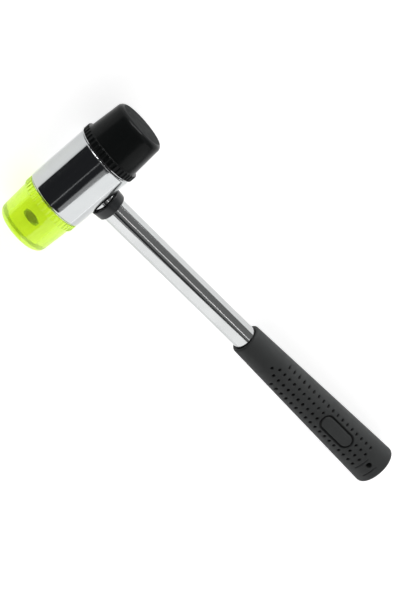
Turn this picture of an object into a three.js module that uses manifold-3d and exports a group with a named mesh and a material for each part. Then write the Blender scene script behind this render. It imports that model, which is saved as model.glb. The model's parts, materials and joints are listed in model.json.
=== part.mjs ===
// Two-faced soft mallet: a plated steel head sleeve on a steel tube handle, with a black rubber
// face and a translucent plastic face that each screw into the head on a moulded-in hex bolt.
// Millimetres. In the assembly's own axes the head lies along Y, the handle runs along +X to the
// grip, and the two cross at the origin. The whole assembly is then laid down on the plane Z = 0.
import * as THREE from 'three';
import { mergeVertices } from 'three/addons/utils/BufferGeometryUtils.js';
import Module from 'manifold-3d';

const wasm = await Module();
wasm.setup();

// ---- driving dimensions ----
const fitGap = 0.3; // clearance kept between pieces that seat on each other

const sleeveRadius = 20;
const sleeveWall = 3;
const sleeveBlackEnd = 20.1; // from the handle axis to the sleeve end with the black face
const sleeveLimeEnd = 21.4; // from the handle axis to the sleeve end with the lime face
const sleeveNeckStep = 0.8; // how far each end steps in behind its bright bevel
const sleeveNeckLength = 0.5;
const sleeveBevelLength = 0.8;

const plateThickness = 8;
const plateRecess = 1.8; // how far the tapped plate sits inside the sleeve end
const plateChamfer = 0.6;

const boltRadius = 3.95; // M8 thread, outside
const boltHeadFlats = 13;
const boltHeadHeight = 5.3;
const boltLength = 22;
const boltHeadStart = 11.4; // from the sleeve end out to the underside of the bolt head
const washerRadius = 8;
const washerThickness = 1.5;

const blackFace = {
  length: 27.6, flangeRadius: 20.5, flangeWidth: 4.8, baseRadius: 18.9, tipRadius: 17.35,
  edgeRadius: 3.4, toothDepth: 0.6,
};
const limeFace = {
  length: 28.3, flangeRadius: 19.7, flangeWidth: 4.8, baseRadius: 18.8, tipRadius: 17.5,
  edgeRadius: 5.4, toothDepth: 0.4,
};
const flangeTeeth = 40;

const tubeRadius = 8;
const tubeWall = 1.2;
const tubeHeadEnd = -14.6; // the tube stops just short of the sleeve's far wall
const tubeGripEnd = 257;
const expanderLength = 18;
const endPlugStem = 12;
const endPlugFlange = 1.5;

const collarTop = sleeveRadius + fitGap;
const collarLength = 6.9;
const collarTopRadius = 10.3;
const collarBottomRadius = 9.6;
const collarMouthRadius = 8.8;
const collarMouthDepth = 1.4;
const collarRounding = 0.7;

const gripStart = 150.2;
const gripEnd = 284.4;
const gripFrontRadius = 10.3;
const gripEndHalfWidth = 14.9; // across, along the head axis
const gripEndFlatness = 0.8; // thickness over width at the end
const gripLip = 1.2;
const gripEndRounding = 3;
const hangingHoleRadius = 2.1;
const hangingHoleX = 273;

// The head rests on the black face's flange and the handle drops until the grip's end touches down.
const gripEndHalfThickness = gripEndHalfWidth * gripEndFlatness;
const gripTouchdownX = gripEnd - gripEndRounding;
const layDownAngle = Math.asin((blackFace.flangeRadius - gripEndHalfThickness) / gripTouchdownX);
const headPlace = new THREE.Vector3(-132.1, 1, blackFace.flangeRadius);

const headSegments = 56;
const innerSegments = 36;
const smallSegments = 24;

// ---- materials ----
function finish(color, roughness, metalness, opacity = 1) {
  return new THREE.MeshStandardMaterial({
    color, roughness, metalness, opacity, transparent: opacity < 1,
  });
}

const platedSteel = finish(0xc9ccce, 0.15, 1);
const turnedSteel = finish(0x9a9c9e, 0.4, 1);
const zincSteel = finish(0xb4b6ae, 0.35, 1);
const blackRubber = finish(0x1c1c1c, 0.55, 0);
const limePlastic = finish(0xc2e83a, 0.25, 0, 0.75);
const collarPlastic = finish(0x232527, 0.35, 0);
const plugPlastic = finish(0x3a3a38, 0.6, 0);
const gripRubber = finish(0x383a3a, 0.8, 0);

// ---- solids ----
// Joins coincident corners and drops the triangles that collapse where a profile meets its axis.
function weld(geometry) {
  geometry.deleteAttribute('normal');
  geometry.deleteAttribute('uv');
  const welded = mergeVertices(geometry, 1e-4);
  const corners = welded.index.array;
  const kept = [];
  for (let i = 0; i < corners.length; i += 3) {
    const [a, b, c] = [corners[i], corners[i + 1], corners[i + 2]];
    if (a !== b && b !== c && c !== a) kept.push(a, b, c);
  }
  welded.setIndex(kept);
  return welded;
}

function toSolid(geometry) {
  const welded = weld(geometry);
  return new wasm.Manifold(new wasm.Mesh({
    numProp: 3,
    vertProperties: new Float32Array(welded.attributes.position.array),
    triVerts: new Uint32Array(welded.index.array),
  }));
}

function toGeometry(solid) {
  const mesh = solid.getMesh();
  const geometry = new THREE.BufferGeometry();
  geometry.setAttribute('position', new THREE.BufferAttribute(mesh.vertProperties, 3));
  geometry.setIndex(new THREE.BufferAttribute(mesh.triVerts, 1));
  geometry.computeVertexNormals();
  return geometry;
}

// Turns a profile of [radius, distance] points round the Y axis.
function turned(profile, segments) {
  return new THREE.LatheGeometry(profile.map(([r, y]) => new THREE.Vector2(r, y)), segments);
}

// The same, with the axis along +X.
function turnedAlongX(profile, segments) {
  return turned(profile, segments).rotateZ(-Math.PI / 2);
}

// Points of a rounded corner, from one angle to another about a centre.
function arc(centreR, centreY, radius, fromAngle, toAngle, steps) {
  return Array.from({ length: steps + 1 }, (_, i) => {
    const angle = fromAngle + (toAngle - fromAngle) * i / steps;
    return [centreR + radius * Math.cos(angle), centreY + radius * Math.sin(angle)];
  });
}

// A closed ring profile between two distances, with all four corners cut off.
function ringProfile(inner, outer, low, high, chamfer) {
  return [
    [inner, low + chamfer], [inner + chamfer, low], [outer - chamfer, low], [outer, low + chamfer],
    [outer, high - chamfer], [outer - chamfer, high], [inner + chamfer, high],
    [inner, high - chamfer], [inner, low + chamfer],
  ];
}

function cylinder(radius, low, high, segments) {
  return turned([[0, low], [radius, low], [radius, high], [0, high]], segments);
}

// ---- head ----
function headSleeve() {
  const inner = sleeveRadius - sleeveWall;
  const neck = sleeveRadius - sleeveNeckStep;
  const shoulder = sleeveNeckLength + sleeveBevelLength;
  const tube = toSolid(turned(
    [
      [inner, -sleeveLimeEnd], [neck, -sleeveLimeEnd], [neck, -sleeveLimeEnd + sleeveNeckLength],
      [sleeveRadius, -sleeveLimeEnd + shoulder], [sleeveRadius, sleeveBlackEnd - shoulder],
      [neck, sleeveBlackEnd - sleeveNeckLength], [neck, sleeveBlackEnd], [inner, sleeveBlackEnd],
      [inner, -sleeveLimeEnd],
    ],
    headSegments,
  ));
  const handleHole = toSolid(
    cylinder(tubeRadius + fitGap, 0, sleeveRadius * 1.5, innerSegments).rotateZ(-Math.PI / 2),
  );
  return toGeometry(tube.subtract(handleHole));
}

// The head parts below are drawn with Y pointing out of the sleeve and Y = 0 at the sleeve's end.
function tappedPlate() {
  const high = -plateRecess;
  const low = high - plateThickness;
  const plateRadius = sleeveRadius - sleeveWall - fitGap;
  return turned(ringProfile(boltRadius + fitGap, plateRadius, low, high, plateChamfer), innerSegments);
}

function washer() {
  const inner = boltRadius + fitGap;
  return turned(
    [
      [inner, -washerThickness], [washerRadius, -washerThickness], [washerRadius, 0], [inner, 0],
      [inner, -washerThickness],
    ],
    smallSegments,
  );
}

function faceBolt() {
  const shankEnd = boltHeadStart - boltLength;
  const shank = toSolid(turned(
    [[0, shankEnd], [boltRadius - 1, shankEnd], [boltRadius, shankEnd + 1],
      [boltRadius, boltHeadStart + 1], [0, boltHeadStart + 1]],
    smallSegments,
  ));
  const cornerRadius = boltHeadFlats / Math.sqrt(3);
  const hexagon = new THREE.CylinderGeometry(cornerRadius, cornerRadius, boltHeadHeight, 6);
  hexagon.translate(0, boltHeadStart + boltHeadHeight / 2, 0);
  return toGeometry(shank.add(toSolid(hexagon)));
}

function toothedFlange(face) {
  const pitch = 2 * Math.PI / flangeTeeth;
  const root = face.flangeRadius - face.toothDepth;
  const tooth = [[root, 0], [face.flangeRadius, 0.2], [face.flangeRadius, 0.5], [root, 0.7]];
  const outline = [];
  for (let i = 0; i < flangeTeeth; i += 1) {
    for (const [radius, part] of tooth) {
      const angle = (i + part) * pitch;
      outline.push(new THREE.Vector2(radius * Math.cos(angle), radius * Math.sin(angle)));
    }
  }
  const flange = new THREE.ExtrudeGeometry(new THREE.Shape(outline), {
    depth: face.flangeWidth - fitGap, bevelEnabled: false,
  });
  return flange.rotateX(-Math.PI / 2).translate(0, fitGap, 0);
}

function strikingFace(face) {
  const slope = Math.atan((face.baseRadius - face.tipRadius) / (face.length - face.flangeWidth));
  const pocketRadius = boltHeadFlats / Math.sqrt(3) + fitGap;
  const pocketLow = boltHeadStart - fitGap;
  const pocketHigh = boltHeadStart + boltHeadHeight + fitGap;
  const cap = toSolid(turned(
    [
      [0, pocketHigh], [pocketRadius, pocketHigh], [pocketRadius, pocketLow],
      [boltRadius + fitGap, pocketLow], [boltRadius + fitGap, fitGap],
      [face.baseRadius, fitGap], [face.baseRadius, face.flangeWidth],
      ...arc(
        face.tipRadius - face.edgeRadius, face.length - face.edgeRadius, face.edgeRadius,
        slope, Math.PI / 2, 5,
      ),
      [0, face.length],
    ],
    headSegments,
  ));
  const bore = toSolid(cylinder(boltRadius + fitGap, -1, face.flangeWidth + 1, headSegments));
  return toGeometry(cap.add(toSolid(toothedFlange(face)).subtract(bore)));
}

// ---- handle ----
function handleTube() {
  const profile = ringProfile(tubeRadius - tubeWall, tubeRadius, tubeHeadEnd, tubeGripEnd, 0.3);
  return turnedAlongX(profile, innerSegments);
}

function expanderPlug() {
  const radius = tubeRadius - tubeWall - fitGap;
  const inner = tubeHeadEnd + expanderLength;
  return turnedAlongX(
    [[0, tubeHeadEnd], [radius, tubeHeadEnd], [radius, inner - 3], [radius - 1.2, inner], [0, inner]],
    smallSegments,
  );
}

function tubeEndPlug() {
  const stemRadius = tubeRadius - tubeWall - fitGap;
  const flangeLow = tubeGripEnd + fitGap;
  const flangeHigh = flangeLow + endPlugFlange;
  return turnedAlongX(
    [
      [0, tubeGripEnd - endPlugStem], [stemRadius - 1, tubeGripEnd - endPlugStem],
      [stemRadius, tubeGripEnd - endPlugStem + 1.5], [stemRadius, flangeLow],
      [tubeRadius - 0.2, flangeLow], [tubeRadius - 0.2, flangeHigh - 0.4],
      [tubeRadius - 0.6, flangeHigh], [0, flangeHigh],
    ],
    smallSegments,
  );
}

function neckCollar() {
  const bottom = collarTop + collarLength;
  const inner = tubeRadius + fitGap;
  const round = collarRounding;
  const quarter = Math.PI / 2;
  return turnedAlongX(
    [
      [collarMouthRadius, collarTop],
      ...arc(collarTopRadius - round, collarTop + round, round, -quarter, 0, 3),
      ...arc(collarBottomRadius - round, bottom - round, round, 0, quarter, 3),
      [inner, bottom], [inner, collarTop + collarMouthDepth], [collarMouthRadius, collarTop],
    ],
    innerSegments,
  );
}

// Half width and half thickness of the grip at a distance along the handle: round at the front,
// then flaring into a flatter oval.
function gripSection(x) {
  const along = (x - gripStart) / (gripEnd - gripStart);
  const halfWidth = gripFrontRadius + (gripEndHalfWidth - gripFrontRadius) * along;
  return [halfWidth, halfWidth * (1 - (1 - gripEndFlatness) * along)];
}

// A closed skin through oval rings [x, half width, half thickness]; the first and last shrink to a
// point.
function skin(rings, segments) {
  const positions = [];
  for (const [x, halfWidth, halfThickness] of rings) {
    for (let i = 0; i < segments; i += 1) {
      const angle = 2 * Math.PI * i / segments;
      positions.push(x, halfWidth * Math.cos(angle), halfThickness * Math.sin(angle));
    }
  }
  const corners = [];
  for (let ring = 0; ring + 1 < rings.length; ring += 1) {
    for (let i = 0; i < segments; i += 1) {
      const next = (i + 1) % segments;
      const [a, b] = [ring * segments + i, ring * segments + next];
      corners.push(a, b, b + segments, a, b + segments, a + segments);
    }
  }
  const geometry = new THREE.BufferGeometry();
  geometry.setAttribute('position', new THREE.Float32BufferAttribute(positions, 3));
  geometry.setIndex(corners);
  return geometry;
}

function rubberGrip() {
  const bore = tubeRadius + fitGap;
  const boreEnd = tubeGripEnd + 2 * fitGap + endPlugFlange;
  const rings = [[boreEnd, 0, 0], [boreEnd, bore, bore], [gripStart, bore, bore]];
  for (const [inset, x] of arc(0, gripStart + gripLip, gripLip, -Math.PI / 2, 0, 3)) {
    const [halfWidth, halfThickness] = gripSection(x);
    rings.push([x, halfWidth - gripLip + inset, halfThickness - gripLip + inset]);
  }
  const bodyRings = 7;
  const bodyStart = gripStart + gripLip;
  for (let i = 1; i <= bodyRings; i += 1) {
    const x = bodyStart + (gripEnd - gripEndRounding - bodyStart) * i / bodyRings;
    rings.push([x, ...gripSection(x)]);
  }
  const round = gripEndRounding;
  for (const [inset, x] of arc(0, gripEnd - round, round, 0, Math.PI / 2, 4).slice(1)) {
    const [halfWidth, halfThickness] = gripSection(gripEnd - round);
    rings.push([x, halfWidth - round + inset, halfThickness - round + inset]);
  }
  rings.push([gripEnd, 0, 0]);
  const sleeve = toSolid(skin(rings, 44));
  const drill = cylinder(hangingHoleRadius, -20, 20, smallSegments).rotateX(Math.PI / 2);
  const hole = toSolid(drill.translate(hangingHoleX, 0, 0));
  return toGeometry(sleeve.subtract(hole));
}

// ---- assembly ----
function piece(name, geometry, material) {
  const mesh = new THREE.Mesh(geometry, material);
  mesh.name = name;
  return mesh;
}

// One end of the head: its tapped plate, and the face with its bolt and washer.
function headEnd(prefix, face, faceMaterial) {
  const end = new THREE.Group();
  end.add(
    piece(`${prefix}_end_tapped_plate`, tappedPlate(), turnedSteel),
    piece(`${prefix}_face`, strikingFace(face), faceMaterial),
    piece(`${prefix}_face_bolt`, faceBolt(), zincSteel),
    piece(`${prefix}_face_washer`, washer(), zincSteel),
  );
  return end;
}

const blackEnd = headEnd('black', blackFace, blackRubber);
blackEnd.position.y = sleeveBlackEnd;
const limeEnd = headEnd('lime', limeFace, limePlastic);
limeEnd.rotation.x = Math.PI;
limeEnd.position.y = -sleeveLimeEnd;

const assembly = new THREE.Group();
assembly.add(
  piece('head_sleeve', headSleeve(), platedSteel),
  blackEnd,
  limeEnd,
  piece('handle_tube', handleTube(), platedSteel),
  piece('tube_expander_plug', expanderPlug(), turnedSteel),
  piece('tube_end_plug', tubeEndPlug(), plugPlastic),
  piece('neck_collar', neckCollar(), collarPlastic),
  piece('rubber_grip', rubberGrip(), gripRubber),
);
assembly.rotation.y = layDownAngle;
assembly.position.copy(headPlace);

const group = new THREE.Group();
group.add(assembly);
group.updateMatrixWorld(true);

export default group;
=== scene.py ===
"""Two-faced soft mallet lying on a pale floor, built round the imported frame.

Shapes are drawn in millimetres in the mallet's own axes: Y along the head towards the black face, X
along the handle towards the grip, and the origin where the two cross. place() lays them down.
"""
import json
import math

import bmesh
import bpy
import numpy as np
from mathutils import Matrix, Vector

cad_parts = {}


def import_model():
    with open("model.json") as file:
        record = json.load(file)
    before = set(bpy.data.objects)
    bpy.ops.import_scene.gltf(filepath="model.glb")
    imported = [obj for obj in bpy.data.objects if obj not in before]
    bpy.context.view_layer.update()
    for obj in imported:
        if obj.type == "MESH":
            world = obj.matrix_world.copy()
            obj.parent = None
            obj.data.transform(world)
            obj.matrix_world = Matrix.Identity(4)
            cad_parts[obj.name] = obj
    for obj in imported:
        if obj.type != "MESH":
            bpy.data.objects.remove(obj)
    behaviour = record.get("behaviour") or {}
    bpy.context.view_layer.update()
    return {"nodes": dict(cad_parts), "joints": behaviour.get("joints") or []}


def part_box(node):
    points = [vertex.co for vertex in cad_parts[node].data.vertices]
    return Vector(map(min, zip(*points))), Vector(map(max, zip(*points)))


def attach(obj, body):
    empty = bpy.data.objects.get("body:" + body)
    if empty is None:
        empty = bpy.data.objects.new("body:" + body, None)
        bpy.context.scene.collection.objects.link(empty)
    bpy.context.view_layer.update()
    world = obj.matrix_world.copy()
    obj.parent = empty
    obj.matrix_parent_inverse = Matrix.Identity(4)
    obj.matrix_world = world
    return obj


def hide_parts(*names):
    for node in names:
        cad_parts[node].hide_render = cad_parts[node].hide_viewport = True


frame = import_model()

MM = 0.001

# ---- the frame's own measures ----
HEAD_CENTRE = Vector(frame["joints"][1]["pos_m"])


def box_size(node):
    """The size of a CAD node's box, in mm."""
    low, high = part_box(node)
    return (high - low) / MM


def box_centre(node):
    """The centre of a CAD node's box, in metres."""
    low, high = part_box(node)
    return (low + high) / 2


tube_middle = box_centre("handle_tube") - HEAD_CENTRE
LAY_DOWN = math.atan2(-tube_middle.z, tube_middle.x)
TO_ROW = (
    Matrix.Translation(HEAD_CENTRE) @ Matrix.Rotation(LAY_DOWN, 4, "Y") @ Matrix.Scale(MM, 4)
)


def along_head(y):
    """Distance along the head's axis, in mm, from the handle's axis."""
    return (y - HEAD_CENTRE.y) / MM


SLEEVE_RADIUS = box_size("head_sleeve").x / 2
SLEEVE_BLACK_END = along_head(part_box("head_sleeve")[1].y)
SLEEVE_LIME_END = -along_head(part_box("head_sleeve")[0].y)
BLACK_LENGTH = along_head(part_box("black_face")[1].y) - SLEEVE_BLACK_END
LIME_LENGTH = -along_head(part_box("lime_face")[0].y) - SLEEVE_LIME_END
WASHER_THICKNESS = box_size("black_face_washer").y
WASHER_RADIUS = box_size("black_face_washer").x / 2
PLATE_THICKNESS = box_size("black_end_tapped_plate").y
PLATE_RADIUS = box_size("black_end_tapped_plate").x / 2
PLATE_RECESS = SLEEVE_BLACK_END - along_head(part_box("black_end_tapped_plate")[1].y)
BOLT_END = SLEEVE_BLACK_END - along_head(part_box("black_face_bolt")[0].y)
BOLT_TOP = along_head(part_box("black_face_bolt")[1].y) - SLEEVE_BLACK_END
TUBE_RADIUS = box_size("handle_tube").y / 2
GRIP_END_HALF_WIDTH = box_size("rubber_grip").y / 2

# ---- driving dimensions that the frame doesn't give, in mm ----
FIT_GAP = 0.3
MOULDED_GAP = 0.02
NEAR_AXIS = 0.01

SLEEVE_WALL = 3.0
NECK_STEP = 0.8
NECK_LENGTH = 0.5
BEVEL_LENGTH = 0.8

TUBE_WALL = 1.2
TUBE_HEAD_END = -14.6
TUBE_GRIP_END = 257.0
END_PLUG_FLANGE = 1.5

BOLT_RADIUS = 3.95
BOLT_HEAD_FLATS = 13.0
BOLT_HEAD_HEIGHT = 5.3
BOLT_HEAD_TURN = math.radians(30)
BOLT_HEAD_BEVEL = 0.3
THREAD_PITCH = 1.25
THREAD_DEPTH = 0.7
THREAD_END = -0.5
THREAD_LEAD = 1.5
THREAD_LEAD_STEP = 1.0

FLANGE_TEETH = 40
SEGMENTS_PER_TOOTH = 10
FLANGE_WIDTH = 4.8
POCKET_DEPTH = 0.9
STRUCK_FADE = 0.25
CORE_RADIUS = 7.9
CORE_INSET = 1.5
CORE_COVER = 4.0
CORE_START = FIT_GAP + CORE_INSET
CORE_END = LIME_LENGTH - CORE_COVER
CORE_WINDOW_HALF_WIDTH = 6.0
CORE_WINDOW_RISE = 3.0

COLLAR_LENGTH = 6.9
COLLAR_START = SLEEVE_RADIUS + FIT_GAP
COLLAR_END = COLLAR_START + COLLAR_LENGTH
COLLAR_FRONT_RADIUS = 10.3
COLLAR_BACK_RADIUS = 9.6
COLLAR_MOUTH_RADIUS = 8.8
COLLAR_MOUTH_DEPTH = 1.4

GRIP_START = 150.2
GRIP_END = 284.4
GRIP_FRONT_RADIUS = 10.3
GRIP_FRONT_ROUNDING = 1.2
GRIP_END_ROUNDING = 3.0
GRIP_END_FLATNESS = 0.8
GRIP_ROLL = math.radians(4)
BROAD_SIDE_ANGLE = 0.84
HOLE_X = 273.0
HOLE_RADIUS = 2.1

# ---- the grip's moulded pattern, in mm: lengths lie along the handle and widths across it ----
DIMPLE_PITCH = 4.85
DIMPLE_START = 177.7
DIMPLE_ROWS = 19
DIMPLE_COLUMNS = (-7.75, -2.6, 2.6, 7.75)
DIMPLE_HALF_LENGTH = 0.85
DIMPLE_HALF_WIDTH = 1.15
DIMPLE_DEPTH = 1.3
LABEL_CENTRE = 238.3
LABEL_HALF_LENGTH = 14.0
LABEL_HALF_WIDTH = 4.9
LABEL_MARGIN = 1.5
LABEL_GROOVE_HALF = 0.6
LABEL_GROOVE_DEPTH = 1.1
CROSS_GROOVES = (269.0, 277.4)
CROSS_GROOVE_MIDDLE = -3.4
CROSS_GROOVE_REACH = 5.8
CROSS_GROOVE_HALF = 0.65
CROSS_GROOVE_DEPTH = 0.45

# ---- strengths of the light that surfaces give off: the floor's even glow, and painted glow on the lime plastic and its core ----
FLOOR_GLOW = 0.85
LIME_PAINTED_GLOW = 0.11
CORE_PAINTED_GLOW = 0.5


# ---- mesh building ----
def smooth(obj, sharp_angle=35):
    """Smooth shading, except across edges sharper than an angle in degrees."""
    obj.data.shade_smooth()
    obj.data.set_sharp_from_angle(angle=math.radians(sharp_angle))


def place(name, verts, faces, sharp_angle=35):
    """A smooth mesh object in the row frame from points in the mallet's own axes, in mm."""
    mesh = bpy.data.meshes.new(name)
    mesh.from_pydata([tuple(v) for v in verts], [], faces)
    mesh.transform(TO_ROW)
    obj = bpy.data.objects.new(name, mesh)
    bpy.context.scene.collection.objects.link(obj)
    work = bmesh.new()
    work.from_mesh(mesh)
    bmesh.ops.recalc_face_normals(work, faces=work.faces)
    work.to_mesh(mesh)
    work.free()
    smooth(obj, sharp_angle)
    return obj


def rounded(corners, steps):
    """A polyline through corners (u, v, radius) with each corner rounded to its radius."""
    points = []
    for i, (u, v, radius) in enumerate(corners):
        if not radius:
            points.append((u, v))
            continue
        here = Vector((u, v))
        before = (Vector(corners[i - 1][:2]) - here).normalized()
        after = (Vector(corners[(i + 1) % len(corners)][:2]) - here).normalized()
        half = before.angle(after) / 2
        centre = here + (before + after).normalized() * radius / math.sin(half)
        start = here + before * radius / math.tan(half) - centre
        end = here + after * radius / math.tan(half) - centre
        sweep = start.angle_signed(end)
        for step in range(steps + 1):
            spoke = start.copy()
            spoke.rotate(Matrix.Rotation(-sweep * step / steps, 2))
            points.append(tuple(centre + spoke))
    return points


def grid_faces(rings, segments):
    """Quads between neighbouring closed rings of vertices."""
    return [
        (
            ring * segments + i,
            ring * segments + (i + 1) % segments,
            (ring + 1) * segments + (i + 1) % segments,
            (ring + 1) * segments + i,
        )
        for ring in range(rings - 1)
        for i in range(segments)
    ]


def turned(profile, segments, closed=False, radius_at=None):
    """Vertices and faces of a profile (radius, distance) turned round the Y axis.

    An open profile starts and ends near the axis and is capped there. radius_at(row, angles) may
    change a row's radius round the turn.
    """
    angles = np.arange(segments) * 2 * math.pi / segments
    verts = []
    for row, (radius, distance) in enumerate(profile):
        radii = np.full(segments, radius) if radius_at is None else radius_at(row, angles)
        verts += zip(radii * np.sin(angles), np.full(segments, distance), radii * np.cos(angles))
    faces = grid_faces(len(profile), segments)
    last = (len(profile) - 1) * segments
    if closed:
        faces += [
            (last + i, last + (i + 1) % segments, (i + 1) % segments, i) for i in range(segments)
        ]
    else:
        faces.append(tuple(range(segments)))
        faces.append(tuple(last + i for i in range(segments)))
    return verts, faces


def swing_to_handle(verts):
    """Turns points drawn round the Y axis so that they lie round the handle's axis, X."""
    return [(y, -x, z) for x, y, z in verts]


def at_head_end(verts, black):
    """Moves points drawn from a sleeve end outwards to the black or the lime end of the head."""
    if black:
        return [(x, y + SLEEVE_BLACK_END, z) for x, y, z in verts]
    return [(x, -y - SLEEVE_LIME_END, -z) for x, y, z in verts]


def ring_profile(inner, outer, low, high, rounding):
    """The closed profile of a plain ring whose four edges are rounded alike."""
    corners = [(inner, low), (outer, low), (outer, high), (inner, high)]
    return rounded([(*corner, rounding) for corner in corners], 4)


def point_attribute(obj, name, values):
    """Stores one value for each vertex, for a material to read."""
    data = obj.data.attributes.new(name, "FLOAT", "POINT").data
    data.foreach_set("value", np.array(values, np.float32))


# ---- materials ----
class Nodes:
    """Small helper that builds a material round one Principled shader."""

    def __init__(self, name, **sockets):
        self.material = bpy.data.materials.new(name)
        self.material.use_nodes = True
        self.tree = self.material.node_tree
        self.shader = self.tree.nodes["Principled BSDF"]
        for socket, value in sockets.items():
            self.shader.inputs[socket.replace("_", " ")].default_value = value

    def add(self, kind, **settings):
        """A new node, with its settings and the values of its inputs."""
        node = self.tree.nodes.new(kind)
        for key, value in settings.items():
            if hasattr(node, key):
                setattr(node, key, value)
            else:
                node.inputs[key.replace("_", " ")].default_value = value
        return node

    def link(self, source, target):
        """Joins an output to an input."""
        self.tree.links.new(source, target)

    def coordinates(self, scale):
        """Object coordinates, stretched along the axes."""
        source = self.add("ShaderNodeTexCoord")
        mapping = self.add("ShaderNodeMapping")
        mapping.inputs["Scale"].default_value = scale
        self.link(source.outputs["Object"], mapping.inputs["Vector"])
        return mapping.outputs["Vector"]

    def noise(self, scale, detail, stretch=(1, 1, 1)):
        """Noise with about scale waves to the metre."""
        node = self.add("ShaderNodeTexNoise", Scale=scale, Detail=detail)
        self.link(self.coordinates(stretch), node.inputs["Vector"])
        return node.outputs["Fac"]

    def ramp(self, value, low, high):
        """Two stops, each a position and a colour or a grey, that a value runs between."""
        node = self.add("ShaderNodeValToRGB")
        for element, (position, colour) in zip(node.color_ramp.elements, (low, high)):
            element.position = position
            element.color = (*colour, 1) if isinstance(colour, tuple) else (colour,) * 3 + (1,)
        self.link(value, node.inputs["Fac"])
        return node.outputs["Color"]

    def set(self, socket, source):
        """Feeds one of the shader's sockets."""
        self.link(source, self.shader.inputs[socket])

    def bump(self, height, strength, distance):
        """A bump node, with its distance in mm."""
        node = self.add("ShaderNodeBump", Strength=strength, Distance=distance * MM)
        self.link(height, node.inputs["Height"])
        return node

    def mix(self, attribute, shallow, deep):
        """Goes from one source to the other as a point attribute goes from 0 to 1."""
        node = self.add("ShaderNodeMix", data_type="RGBA")
        factor = self.add("ShaderNodeAttribute", attribute_name=attribute)
        self.link(factor.outputs["Fac"], node.inputs["Factor"])
        self.link(shallow, node.inputs["A"])
        self.link(deep, node.inputs["B"])
        return node.outputs["Result"]


def plated_steel():
    """Bright plating on rolled steel: nearly a mirror, a little wavy, with faint hairlines."""
    m = Nodes("plated_steel", Metallic=1.0)
    m.set("Base Color", m.ramp(m.noise(35, 3), (0.35, (0.53, 0.545, 0.55)), (0.7, (0.57, 0.585, 0.585))))
    hairlines = m.noise(900, 2, stretch=(1, 0.03, 1))
    m.set("Roughness", m.ramp(hairlines, (0.3, 0.07), (0.75, 0.16)))
    waves = m.bump(m.noise(55, 2), 0.25, 0.05)
    fine = m.bump(hairlines, 0.03, 0.02)
    m.link(waves.outputs["Normal"], fine.inputs["Normal"])
    m.set("Normal", fine.outputs["Normal"])
    return m.material


def tube_steel():
    """Bright plating with drawing lines along the tube, which show only in its roughness."""
    m = Nodes("tube_steel", Metallic=1.0)
    m.set("Base Color", m.ramp(m.noise(60, 3), (0.3, (0.53, 0.54, 0.54)), (0.7, (0.58, 0.59, 0.59))))
    m.set("Roughness", m.ramp(m.noise(700, 3, stretch=(0.01, 1, 1)), (0.3, 0.09), (0.7, 0.14)))
    return m.material


def turned_steel(name, dark, light, roughness):
    """Steel with fine tool marks."""
    m = Nodes(name, Metallic=1.0, Roughness=roughness)
    m.set("Base Color", m.ramp(m.noise(120, 4), (0.3, dark), (0.7, light)))
    marks = m.noise(1500, 2, stretch=(1, 0.1, 1))
    m.set("Normal", m.bump(marks, 0.15, 0.03).outputs["Normal"])
    return m.material


def black_rubber():
    """Smooth moulded rubber with faint scuffs, polished on its sides and matt where it strikes."""
    m = Nodes("black_rubber", IOR=1.17)
    m.set(
        "Base Color",
        m.ramp(m.noise(40, 5), (0.3, (0.007, 0.008, 0.008)), (0.75, (0.011, 0.012, 0.012))),
    )
    polish = m.ramp(m.noise(150, 6), (0.3, 0.15), (0.7, 0.22))
    matt = m.ramp(m.noise(220, 5), (0.3, 0.6), (0.7, 0.75))
    m.set("Roughness", m.mix("struck", polish, matt))
    m.set("Normal", m.bump(m.noise(900, 4), 0.1, 0.05).outputs["Normal"])
    return m.material


def lime_plastic():
    """Clear yellow-green moulded plastic with a faint painted glow that brightens it."""
    m = Nodes(
        "lime_plastic", Roughness=0.03, IOR=1.5, Transmission_Weight=0.74, Emission_Strength=LIME_PAINTED_GLOW
    )
    m.set("Base Color", m.ramp(m.noise(60, 3), (0.3, (0.61, 0.82, 0.06)), (0.7, (0.68, 0.87, 0.10))))
    # Painted glow: the emission colour, at the strength set above, brightens the lime plastic.
    m.set(
        "Emission Color",
        m.ramp(m.noise(130, 4), (0.35, (0.46, 0.62, 0.02)), (0.65, (0.78, 0.92, 0.06))),
    )
    m.set("Normal", m.bump(m.noise(90, 3), 0.06, 0.06).outputs["Normal"])
    return m.material


def lime_core():
    """The milky inner moulding that grips the bolt, with a painted glow stronger than the clear
    plastic's.
    """
    # The emission is painted glow that brightens the core.
    m = Nodes(
        "lime_core", Roughness=0.5, Emission_Color=(0.76, 0.88, 0.05, 1), Emission_Strength=CORE_PAINTED_GLOW
    )
    m.set("Base Color", m.ramp(m.noise(80, 3), (0.3, (0.70, 0.88, 0.05)), (0.7, (0.78, 0.93, 0.08))))
    return m.material


def collar_plastic():
    """Satin black moulded plastic."""
    m = Nodes("collar_plastic", Roughness=0.3, IOR=1.42)
    m.set(
        "Base Color",
        m.ramp(m.noise(200, 4), (0.3, (0.016, 0.018, 0.019)), (0.7, (0.024, 0.026, 0.028))),
    )
    m.set("Normal", m.bump(m.noise(700, 3), 0.08, 0.04).outputs["Normal"])
    return m.material


def plug_plastic():
    """Matt dark plastic."""
    m = Nodes("plug_plastic", Roughness=0.6)
    m.set("Base Color", m.ramp(m.noise(200, 4), (0.3, 0.03), (0.7, 0.05)))
    return m.material


def grip_rubber():
    """Matt dark grey moulded rubber; the bottoms of dimples and grooves are darkened with painted shade.
    """
    m = Nodes("grip_rubber", IOR=1.25)
    plain = m.ramp(m.noise(30, 6), (0.3, (0.038, 0.040, 0.040)), (0.7, (0.049, 0.051, 0.051)))
    # Painted shade: a near-black colour that darkens the dimples and grooves as their depth grows.
    shaded = m.add("ShaderNodeRGB")
    shaded.outputs["Color"].default_value = (0.006, 0.006, 0.006, 1)
    m.set("Base Color", m.mix("depth", plain, shaded.outputs["Color"]))
    m.set("Roughness", m.ramp(m.noise(300, 5), (0.3, 0.52), (0.7, 0.68)))
    m.set("Normal", m.bump(m.noise(1400, 3), 0.25, 0.06).outputs["Normal"])
    return m.material


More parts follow.
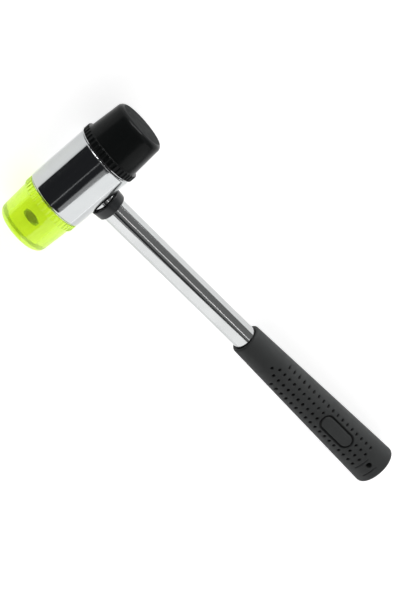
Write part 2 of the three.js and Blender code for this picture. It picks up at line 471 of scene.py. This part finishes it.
def floor_paper():
    """White translucent paper, lit softly from below as well as from above."""
    m = Nodes("floor_paper", Roughness=0.9, Emission_Strength=FLOOR_GLOW)
    tone = m.ramp(m.noise(6, 3), (0.3, 0.80), (0.7, 0.83))
    m.set("Base Color", tone)
    m.set("Emission Color", tone)
    return m.material


PLATED_STEEL = plated_steel()
TUBE_STEEL = tube_steel()
TURNED_STEEL = turned_steel("turned_steel", (0.42, 0.42, 0.42), (0.55, 0.55, 0.55), 0.35)
BOLT_STEEL = turned_steel("bolt_steel", (0.33, 0.44, 0.34), (0.39, 0.52, 0.40), 0.2)
BLACK_RUBBER = black_rubber()
LIME_PLASTIC = lime_plastic()
LIME_CORE = lime_core()
COLLAR_PLASTIC = collar_plastic()
PLUG_PLASTIC = plug_plastic()
GRIP_RUBBER = grip_rubber()

MAIN_BODY = "head_and_handle"


def fit(obj, material, body, node):
    """Finishes a piece: its material, the body it rides on, and the CAD node it stands for."""
    obj.data.materials.append(material)
    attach(obj, body)
    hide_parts(node)


# ---- head ----
def cut_hole(obj, cutter):
    """Cuts one mesh out of another and removes the cutter."""
    boolean = obj.modifiers.new("cut", "BOOLEAN")
    boolean.operation = "DIFFERENCE"
    boolean.solver = "EXACT"
    boolean.object = cutter
    shape = bpy.data.meshes.new_from_object(obj.evaluated_get(bpy.context.evaluated_depsgraph_get()))
    obj.modifiers.clear()
    obj.data = shape
    bpy.data.objects.remove(cutter)


def head_shell():
    """The sleeve: a straight wall that steps down at each end over a rounded bevel to a short neck."""
    inner = SLEEVE_RADIUS - SLEEVE_WALL
    outer = SLEEVE_RADIUS
    neck = outer - NECK_STEP

    def end(direction, reach):
        """The corner points from the wall out over the bevel and the neck to the bore."""
        return [
            (outer, direction * (reach - NECK_LENGTH - BEVEL_LENGTH), 1.1),
            (neck, direction * (reach - NECK_LENGTH), 0.15),
            (neck, direction * reach, 0.2),
            (inner, direction * reach, 0.4),
        ]

    margin = 4
    wall_rows = np.linspace(-SLEEVE_LIME_END + margin, SLEEVE_BLACK_END - margin, 34)
    corners = end(-1, SLEEVE_LIME_END)[::-1]
    corners += [(outer, y, 0) for y in wall_rows]
    corners += end(1, SLEEVE_BLACK_END)
    verts, faces = turned(rounded(corners, 5), 192, closed=True)
    shell = place("head_shell", verts, faces)
    hole_radius = TUBE_RADIUS + FIT_GAP
    hole_start, hole_end = 5, SLEEVE_RADIUS + 10
    hole, hole_faces = turned([(hole_radius, hole_start), (hole_radius, hole_end)], 96)
    cut_hole(shell, place("hole_cutter", swing_to_handle(hole), hole_faces))
    smooth(shell)
    fit(shell, PLATED_STEEL, MAIN_BODY, "head_sleeve")


def tooth_valley(angles):
    """0 on top of a tooth and 1 in the valley beside it, with steep sides."""
    half_top, side = 0.17, 0.14
    part = (angles * FLANGE_TEETH / (2 * math.pi)) % 1
    return np.clip((np.abs(part - 0.5) - half_top) / side, 0, 1)


def face_cap(name, black, length, flange_radius, side_radii, edge_rounding, tooth_depth):
    """A moulded striking face: toothed flange, slightly tapered side and a rounded striking edge.

    The side's radii are those at the flange and at the striking flat.
    """
    base, tip = side_radii
    bore = BOLT_RADIUS + MOULDED_GAP
    pocket_floor = FIT_GAP + POCKET_DEPTH
    side = [(base + (tip - base) * t, FLANGE_WIDTH + (length - FLANGE_WIDTH) * t, 0)
            for t in (0.25, 0.5, 0.7)]
    corners = [
        (NEAR_AXIS, pocket_floor, 0), (bore, pocket_floor, 0), (bore, FIT_GAP, 0.2),
        (flange_radius, FIT_GAP, 0.35), (flange_radius, FLANGE_WIDTH, 0.6),
        (base + 0.05, FLANGE_WIDTH, 0.35), *side, (tip, length, edge_rounding), (NEAR_AXIS, length, 0),
    ]
    profile = rounded(corners, 9)
    rim = flange_radius - tooth_depth

    def radius_at(row, angles):
        radius, distance = profile[row]
        on_rim = min(max((radius - rim) / tooth_depth, 0), 1)
        if distance > FLANGE_WIDTH + 0.01:
            on_rim = 0
        return radius - on_rim * (radius - rim) * tooth_valley(angles)

    segments = FLANGE_TEETH * SEGMENTS_PER_TOOTH
    verts, faces = turned(profile, segments, radius_at=radius_at)
    obj = place(name, at_head_end(verts, black), faces, 40)
    struck = [min(max(1 - (length - distance) / STRUCK_FADE, 0), 1) for _, distance in profile]
    point_attribute(obj, "struck", np.repeat(struck, segments))
    prefix = "black" if black else "lime"
    material = BLACK_RUBBER if black else LIME_PLASTIC
    fit(obj, material, f"{prefix}_face_on_bolt", f"{prefix}_face")


def face_bolt(prefix, black):
    """A hex bolt with a real helical thread; its head is moulded into the striking face."""
    head_start = BOLT_TOP - BOLT_HEAD_HEIGHT
    segments, rows_per_turn, head_steps = 96, 10, 20
    thread_slope, thread_flat = 2.4, 0.2
    angles = np.arange(segments) * 2 * math.pi / segments
    verts = []
    thread_rows = np.arange(-BOLT_END, THREAD_END, THREAD_PITCH / rows_per_turn)
    for distance in thread_rows:
        phase = (distance / THREAD_PITCH - angles / (2 * math.pi)) % 1
        depth = THREAD_DEPTH * np.clip(np.abs(phase - 0.5) * thread_slope - thread_flat, 0, 1)
        lead = THREAD_LEAD_STEP * np.clip((distance + BOLT_END) / THREAD_LEAD, 0, 1)
        radii = np.minimum(BOLT_RADIUS - depth, BOLT_RADIUS - THREAD_LEAD_STEP + lead)
        verts += zip(radii * np.sin(angles), np.full(segments, distance), radii * np.cos(angles))
    sixth = math.pi / 3
    flat = BOLT_HEAD_FLATS / 2
    corner = BOLT_HEAD_FLATS / math.sqrt(3)
    hexagon = flat / np.cos((angles - BOLT_HEAD_TURN + sixth / 2) % sixth - sixth / 2)
    head_rows = [
        (THREAD_END, BOLT_RADIUS), (head_start, BOLT_RADIUS), (head_start, flat - BOLT_HEAD_BEVEL),
    ]
    for step in range(head_steps + 1):
        part = step / head_steps
        crown = 1 - abs(2 * part - 1)
        head_rows.append((head_start + BOLT_HEAD_HEIGHT * part, flat + crown * (corner - flat)))
    head_rows.append((BOLT_TOP, flat - BOLT_HEAD_BEVEL))
    for distance, radius in head_rows:
        radii = np.minimum(hexagon, radius)
        verts += zip(radii * np.sin(angles), np.full(segments, distance), radii * np.cos(angles))
    count = len(thread_rows) + len(head_rows)
    faces = grid_faces(count, segments)
    faces += [tuple(range(segments)), tuple((count - 1) * segments + i for i in range(segments))]
    obj = place(f"{prefix}_bolt", at_head_end(verts, black), faces, 30)
    fit(obj, BOLT_STEEL, f"{prefix}_face_on_bolt", f"{prefix}_face_bolt")


def lime_core_moulding():
    """The core round the lime face's bolt, with a pointed oval window over one flat of its head."""
    profile = [
        (BOLT_RADIUS, CORE_START), (CORE_RADIUS, CORE_START),
        (CORE_RADIUS, CORE_END), (BOLT_RADIUS, CORE_END),
    ]
    verts, faces = turned(profile, 128, closed=True)
    core = place("lime_core", at_head_end(verts, False), faces)
    middle = BOLT_TOP - BOLT_HEAD_HEIGHT / 2
    turn = BOLT_HEAD_TURN + math.pi
    steps = 24
    outline = []
    for side in (1, -1):
        for step in range(steps):
            across = side * (1 - 2 * step / steps)
            rise = side * CORE_WINDOW_RISE * (1 - across * across)
            outline.append((CORE_WINDOW_HALF_WIDTH * across, rise))
    count = len(outline)
    prism = [
        (
            reach * math.sin(turn) + across * math.cos(turn),
            middle + rise,
            reach * math.cos(turn) - across * math.sin(turn),
        )
        for reach in (BOLT_HEAD_FLATS / 2 - 1, CORE_RADIUS + 2)
        for across, rise in outline
    ]
    sides = grid_faces(2, count) + [tuple(range(count)), tuple(range(count, 2 * count))]
    cut_hole(core, place("window_cutter", at_head_end(prism, False), sides))
    smooth(core)
    fit(core, LIME_CORE, "lime_face_on_bolt", "lime_face")


def head_hardware(prefix, black):
    """The tapped plate inside one end of the sleeve, and the washer under the face."""
    bore = BOLT_RADIUS + FIT_GAP
    plate = ring_profile(bore, PLATE_RADIUS, -PLATE_RECESS - PLATE_THICKNESS, -PLATE_RECESS, 0.5)
    verts, faces = turned(plate, 96, closed=True)
    obj = place(f"{prefix}_plate", at_head_end(verts, black), faces)
    fit(obj, TURNED_STEEL, MAIN_BODY, f"{prefix}_end_tapped_plate")
    washer = ring_profile(bore, WASHER_RADIUS, -WASHER_THICKNESS, 0, 0.15)
    verts, faces = turned(washer, 72, closed=True)
    obj = place(f"{prefix}_washer", at_head_end(verts, black), faces)
    fit(obj, BOLT_STEEL, f"{prefix}_washer", f"{prefix}_face_washer")


# ---- handle ----
def tube():
    """The steel tube, open at both ends."""
    inner = TUBE_RADIUS - TUBE_WALL
    profile = ring_profile(inner, TUBE_RADIUS, TUBE_HEAD_END, TUBE_GRIP_END, 0.25)
    verts, faces = turned(profile, 128, closed=True)
    obj = place("plated_tube", swing_to_handle(verts), faces)
    fit(obj, TUBE_STEEL, MAIN_BODY, "handle_tube")


def collar():
    """A tapered plastic ferrule with a belled mouth towards the head."""
    inner = TUBE_RADIUS + FIT_GAP
    profile = rounded(
        [
            (COLLAR_MOUTH_RADIUS, COLLAR_START, 0.2), (COLLAR_FRONT_RADIUS, COLLAR_START, 0.45),
            (COLLAR_BACK_RADIUS, COLLAR_END, 0.9), (inner, COLLAR_END, 0.15),
            (inner, COLLAR_START + COLLAR_MOUTH_DEPTH, 0.3),
        ],
        6,
    )
    verts, faces = turned(profile, 128, closed=True)
    obj = place("collar_ferrule", swing_to_handle(verts), faces)
    fit(obj, COLLAR_PLASTIC, MAIN_BODY, "neck_collar")


def smooth_step(value):
    """Rises smoothly from 0 to 1 as a value does."""
    value = np.clip(value, 0, 1)
    return value * value * (3 - 2 * value)


def dimple_places():
    """(x, y) of every dimple on one broad side: a pointed start, two lines that stop at the label
    oval and go on behind it, and two lines that run past it."""
    places = [(DIMPLE_START - DIMPLE_PITCH, 0)]
    for row in range(DIMPLE_ROWS):
        x = DIMPLE_START + DIMPLE_PITCH * row
        beside_label = abs(x - LABEL_CENTRE) <= LABEL_HALF_LENGTH + LABEL_MARGIN
        for y in DIMPLE_COLUMNS:
            inner_line = abs(y) < LABEL_HALF_WIDTH
            if (inner_line and not beside_label) or (not inner_line and row > 0):
                places.append((x, y))
    return places


def grip_relief(x, y):
    """How deep the moulded pattern is at (x, y) on a broad side, in mm."""
    dimple_edge, dimple_slope = 1.12, 0.5
    cross_slope, cross_fade = 0.4, 1.5
    depth = np.zeros_like(x)
    for place_x, place_y in dimple_places():
        reach = np.hypot((x - place_x) / DIMPLE_HALF_LENGTH, (y - place_y) / DIMPLE_HALF_WIDTH)
        dimple = smooth_step((dimple_edge - reach) / dimple_slope)
        depth = np.maximum(depth, DIMPLE_DEPTH * dimple)
    straight = LABEL_HALF_LENGTH - LABEL_HALF_WIDTH
    past_straight = np.maximum(np.abs(x - LABEL_CENTRE) - straight, 0)
    from_line = np.abs(np.hypot(past_straight, y) - LABEL_HALF_WIDTH)
    groove = smooth_step((LABEL_GROOVE_HALF * 1.5 - from_line) / LABEL_GROOVE_HALF)
    depth = np.maximum(depth, LABEL_GROOVE_DEPTH * groove)
    for groove_x in CROSS_GROOVES:
        across = smooth_step((CROSS_GROOVE_HALF - np.abs(x - groove_x)) / cross_slope)
        past_middle = np.abs(y - CROSS_GROOVE_MIDDLE)
        fade = smooth_step((CROSS_GROOVE_REACH - past_middle) / cross_fade)
        depth = np.maximum(depth, CROSS_GROOVE_DEPTH * across * fade)
    return depth


def grip_half_sizes(x):
    """Half width and half thickness of the grip along the handle."""
    along = (x - GRIP_START) / (GRIP_END - GRIP_START)
    half_width = GRIP_FRONT_RADIUS + (GRIP_END_HALF_WIDTH - GRIP_FRONT_RADIUS) * along
    return half_width, half_width * (1 - (1 - GRIP_END_FLATNESS) * along)


def grip_angles():
    """Angles round the grip: close together over both broad sides, wider apart at the edges."""
    broad = np.linspace(-BROAD_SIDE_ANGLE, BROAD_SIDE_ANGLE, 76)
    edge = np.linspace(BROAD_SIDE_ANGLE, math.pi - BROAD_SIDE_ANGLE, 16)[1:-1]
    return np.concatenate([broad, edge, broad + math.pi, edge + math.pi])


def grip_rings():
    """The grip's rings from the floor of its bore, out over its front lip and back to its closed end.

    Each is a place along the handle, a half width, a half thickness, and whether it has the pattern.
    """
    bore = TUBE_RADIUS + FIT_GAP
    bore_end = TUBE_GRIP_END + 2 * FIT_GAP + END_PLUG_FLANGE
    mouth_depth, mouth_bevel = 0.4, 0.1
    mouth = bore + mouth_bevel
    rings = [
        (bore_end, NEAR_AXIS, NEAR_AXIS, False), (bore_end, bore, bore, False),
        (GRIP_START + mouth_depth, bore, bore, False), (GRIP_START + mouth_bevel, mouth, mouth, False),
    ]
    for turn in np.linspace(0, math.pi / 2, 7):
        x = GRIP_START + GRIP_FRONT_ROUNDING * (1 - math.cos(turn))
        inset = GRIP_FRONT_ROUNDING * (1 - math.sin(turn))
        rings.append((x, *[half - inset for half in grip_half_sizes(x)], False))
    plain_start = GRIP_START + GRIP_FRONT_ROUNDING
    run_up = 3
    fine_start = DIMPLE_START - DIMPLE_PITCH - run_up
    fine_end = GRIP_END - GRIP_END_ROUNDING
    coarse = np.linspace(plain_start, fine_start, 8)[1:-1]
    fine = np.linspace(fine_start, fine_end, 330)
    rings += [(x, *grip_half_sizes(x), True) for x in np.concatenate([coarse, fine])]
    end_half = grip_half_sizes(fine_end)
    for turn in np.linspace(0, math.pi / 2, 9)[1:]:
        inset = GRIP_END_ROUNDING * (1 - math.cos(turn))
        x = fine_end + GRIP_END_ROUNDING * math.sin(turn)
        rings.append((x, *[half - inset for half in end_half], False))
    for shrink in (0.8, 0.5, 0.2, 0.001):
        flat = [(half - GRIP_END_ROUNDING) * shrink for half in end_half]
        rings.append((GRIP_END, *flat, False))
    return rings


def grip():
    """The rubber grip: an oval sleeve with a closed end, dimples, grooves and a hanging hole."""
    angles = grip_angles()
    sine, cosine = np.sin(angles), np.cos(angles)
    rings = grip_rings()
    verts, relief = [], []
    for x, half_width, half_thickness, patterned in rings:
        y = half_width * sine
        z = half_thickness * cosine
        depth = np.zeros_like(y)
        if patterned:
            depth = grip_relief(np.full_like(y, x), y) * (np.abs(cosine) > 0.5)
        normal = np.stack([sine / half_width, cosine / half_thickness])
        normal /= np.linalg.norm(normal, axis=0)
        y, z = y - depth * normal[0], z - depth * normal[1]
        roll_y = y * math.cos(GRIP_ROLL) + z * math.sin(GRIP_ROLL)
        roll_z = z * math.cos(GRIP_ROLL) - y * math.sin(GRIP_ROLL)
        verts += zip(np.full_like(y, x), roll_y, roll_z)
        relief += list(depth / DIMPLE_DEPTH)
    count = len(angles)
    last = (len(rings) - 1) * count
    faces = grid_faces(len(rings), count)
    faces += [tuple(range(count)), tuple(last + i for i in range(count))]
    obj = place("grip_sleeve", verts, faces, 60)
    # The depth also sets how much painted shade the grip's material lays in the dimples and grooves.
    point_attribute(obj, "depth", relief)
    reach = 20
    drill, drill_faces = turned([(HOLE_RADIUS, -reach), (HOLE_RADIUS, reach)], 48)
    upright = [(x + HOLE_X, z, y) for x, y, z in drill]
    cut_hole(obj, place("hole_drill", upright, drill_faces))
    fit(obj, GRIP_RUBBER, MAIN_BODY, "rubber_grip")


def small_cad_nodes():
    """The two plugs inside the tube never show, and keep their CAD shape with a new material."""
    for node, material in (("tube_expander_plug", TURNED_STEEL), ("tube_end_plug", PLUG_PLASTIC)):
        obj = frame["nodes"][node]
        obj.data.materials.clear()
        obj.data.materials.append(material)


head_shell()
face_cap(
    "black_cap", True, BLACK_LENGTH,
    flange_radius=20.5, side_radii=(18.9, 17.35), edge_rounding=3.4, tooth_depth=0.6,
)
face_cap(
    "lime_cap", False, LIME_LENGTH,
    flange_radius=19.7, side_radii=(18.8, 17.5), edge_rounding=5.4, tooth_depth=0.4,
)
for prefix, black in (("black", True), ("lime", False)):
    face_bolt(prefix, black)
    head_hardware(prefix, black)
lime_core_moulding()
tube()
collar()
grip()
small_cad_nodes()


# ---- studio ----
def floor():
    """A square of paper that the mallet lies on, with its half size in metres."""
    half = 3
    corners = [(-half, -half, 0), (half, -half, 0), (half, half, 0), (-half, half, 0)]
    mesh = bpy.data.meshes.new("floor")
    mesh.from_pydata(corners, [], [(0, 1, 2, 3)])
    obj = bpy.data.objects.new("floor", mesh)
    bpy.context.scene.collection.objects.link(obj)
    obj.data.materials.append(floor_paper())


def soft_light(name, direction, distance, size, radiance, along):
    """A rectangular soft light in a direction from the origin, facing it. The second of its two
    sizes lies as near as it can to the direction called along. Distances are in metres."""
    light = bpy.data.lights.new(name, "AREA")
    light.shape = "RECTANGLE"
    light.size, light.size_y = size
    light.energy = radiance * math.pi * size[0] * size[1]
    obj = bpy.data.objects.new(name, light)
    bpy.context.scene.collection.objects.link(obj)
    back = Vector(direction).normalized()
    side = Vector(along).cross(back).normalized()
    axes = Matrix((side, back.cross(side), back)).transposed()
    obj.matrix_world = Matrix.Translation(back * distance) @ axes.to_4x4()


def camera():
    """The camera looks down on the mallet from behind the head, with the image turned so that the
    handle runs down to the right."""
    aim = Vector((-0.0205, -0.0023, 0.015))
    azimuth, elevation, roll = (math.radians(a) for a in (151.33, 62.79, 166.42))
    distance = 1.0504
    data = bpy.data.cameras.new("camera")
    data.lens = 102.95
    data.sensor_width = 36
    data.sensor_fit = "AUTO"
    data.clip_start = 0.05
    obj = bpy.data.objects.new("camera", data)
    bpy.context.scene.collection.objects.link(obj)
    level_part = math.cos(elevation)
    back = Vector(
        (math.cos(azimuth) * level_part, math.sin(azimuth) * level_part, math.sin(elevation))
    )
    level = Vector((0, 0, 1)).cross(back).normalized()
    axes = Matrix((level, back.cross(level), back)).transposed()
    turned_axes = axes @ Matrix.Rotation(roll, 3, "Z")
    obj.matrix_world = Matrix.Translation(aim + back * distance) @ turned_axes.to_4x4()
    bpy.context.scene.camera = obj


def world():
    """A dark room whose far side, towards +Y, is a little lighter."""
    sky = bpy.data.worlds.new("studio")
    sky.use_nodes = True
    nodes, links = sky.node_tree.nodes, sky.node_tree.links
    direction = nodes.new("ShaderNodeTexCoord")
    split = nodes.new("ShaderNodeSeparateXYZ")
    ramp = nodes.new("ShaderNodeValToRGB")
    dark, light = ramp.color_ramp.elements
    dark.color = (0.02, 0.021, 0.023, 1)
    light.position = 0.25
    light.color = (0.2, 0.2, 0.2, 1)
    links.new(direction.outputs["Generated"], split.inputs["Vector"])
    links.new(split.outputs["Y"], ramp.inputs["Fac"])
    links.new(ramp.outputs["Color"], nodes["Background"].inputs["Color"])
    bpy.context.scene.world = sky


floor()
world()
# Each light's direction, distance, two sizes, radiance, and where its second size points.
for name, direction, distance, size, radiance, along in (
    ("key_softbox", (0.64, -0.60, 0.48), 1.0, (1.7, 1.5), 1.35, (0, 0, 1)),
    ("tube_strip", (0.40, 0.43, 0.81), 1.2, (0.05, 0.9), 2.5, (1, 0, 0)),
    ("head_strip", (-0.33, -0.22, 0.92), 1.2, (0.03, 0.7), 0.5, (0, 1, 0)),
    ("head_fill", (0.268, -0.264, 1.12), 1.18, (0.36, 0.16), 0.35, (0, 1, 0)),
    ("far_panel", (-0.25, 0.9, 0.2), 1.3, (1.1, 0.4), 10, (0, 0, 1)),
):
    soft_light(name, direction, distance, size, radiance, along)
camera()
bpy.context.scene.view_settings.view_transform = "Standard"
